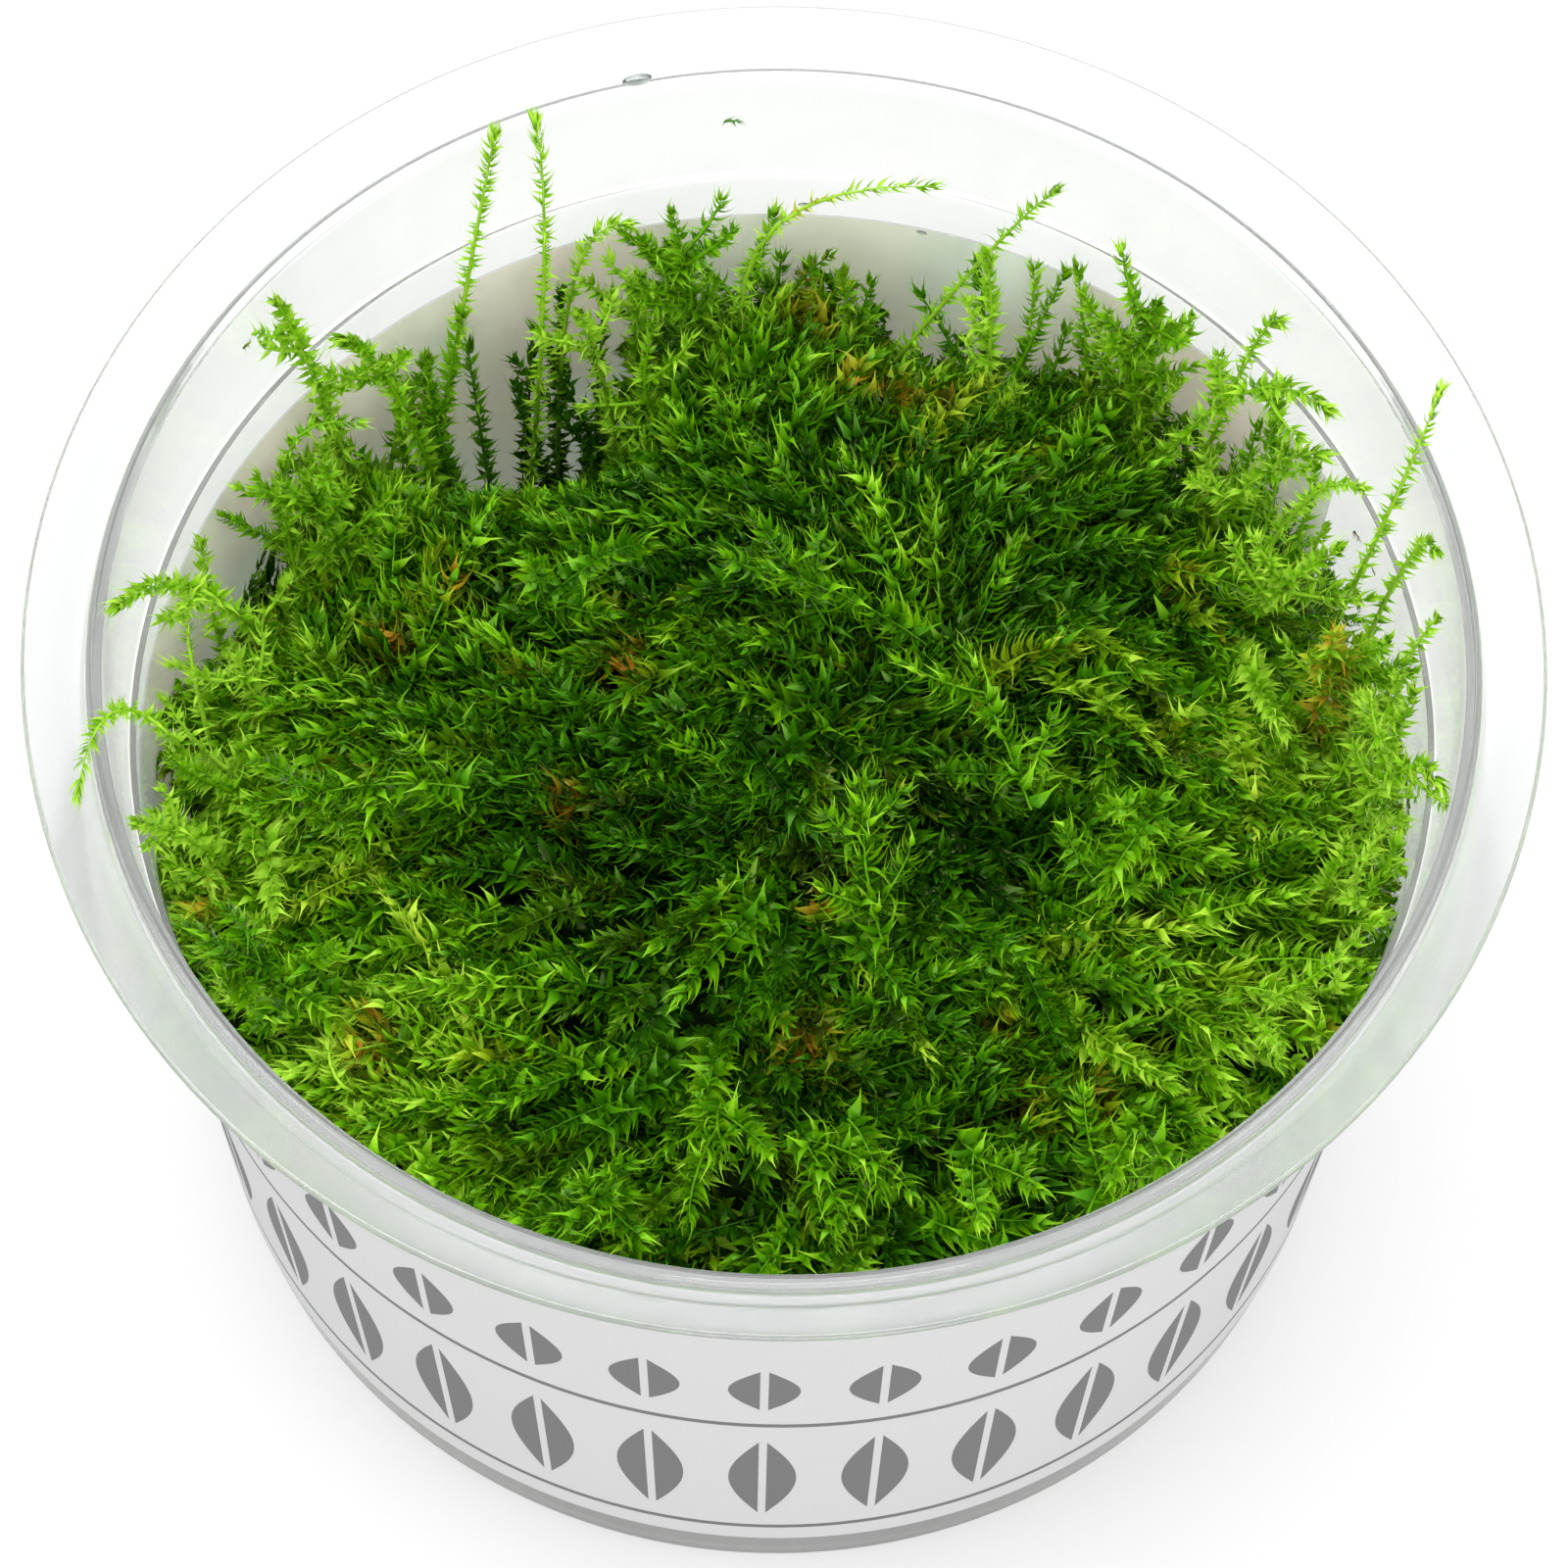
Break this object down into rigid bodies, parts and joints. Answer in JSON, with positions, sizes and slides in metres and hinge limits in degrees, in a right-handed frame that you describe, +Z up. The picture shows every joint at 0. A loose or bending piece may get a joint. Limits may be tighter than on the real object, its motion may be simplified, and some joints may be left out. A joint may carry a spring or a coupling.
{
  "type": "cup of aquarium moss",
  "caption": "Clear plastic cup with a broad rim flange and a paper label, filled with a mound of feathery green aquarium moss whose shoots reach the rim.",
  "frame": {"origin": "centre of the cup's foot, on the surface that it stands on", "axes": "+Z up along the cup's axis, +Y towards the back, where the tall shoots stand, +X to the right"},
  "size_m": [0.1, 0.1, 0.066],
  "materials": {
    "clear_plastic": "clear moulded polypropylene, slightly hazy",
    "label_paper": "satin white printed film label",
    "moss_green": "living moss, soft and slightly wet"
  },
  "bodies": {
    "root": {"cup": "clear_plastic", "frond_centre": "moss_green", "frond_centre_back": "moss_green", "frond_front": "moss_green", "frond_left": "moss_green", "frond_left_back": "moss_green", "frond_left_front": "moss_green", "frond_right": "moss_green", "label": "label_paper", "moss_mound": "moss_green", "shoot_back_dark": "moss_green", "shoot_back_diagonal": "moss_green", "shoot_back_leaning": "moss_green", "shoot_back_right_branch": "moss_green", "shoot_back_right_long": "moss_green", "shoot_back_stub": "moss_green", "shoot_left_arching": "moss_green", "shoot_left_dark": "moss_green", "shoot_left_fork_long": "moss_green", "shoot_left_fork_short": "moss_green", "shoot_left_low": "moss_green", "shoot_left_reaching": "moss_green", "shoot_left_upright": "moss_green", "shoot_over_rim_left": "moss_green", "shoot_over_rim_right": "moss_green", "shoot_right_crossing": "moss_green", "shoot_right_front": "moss_green", "shoot_right_hooked": "moss_green", "shoot_right_long": "moss_green", "shoot_right_low": "moss_green", "shoot_right_short": "moss_green", "shoot_right_slanting": "moss_green", "shoot_right_thin": "moss_green", "shoot_right_upright": "moss_green", "shoot_tall_inner": "moss_green", "shoot_tall_outer": "moss_green", "tuft_back_short": "moss_green", "tuft_back_tall": "moss_green", "tuft_left": "moss_green", "tuft_right": "moss_green", "tuft_right_back": "moss_green"}
  },
  "joints": []
}
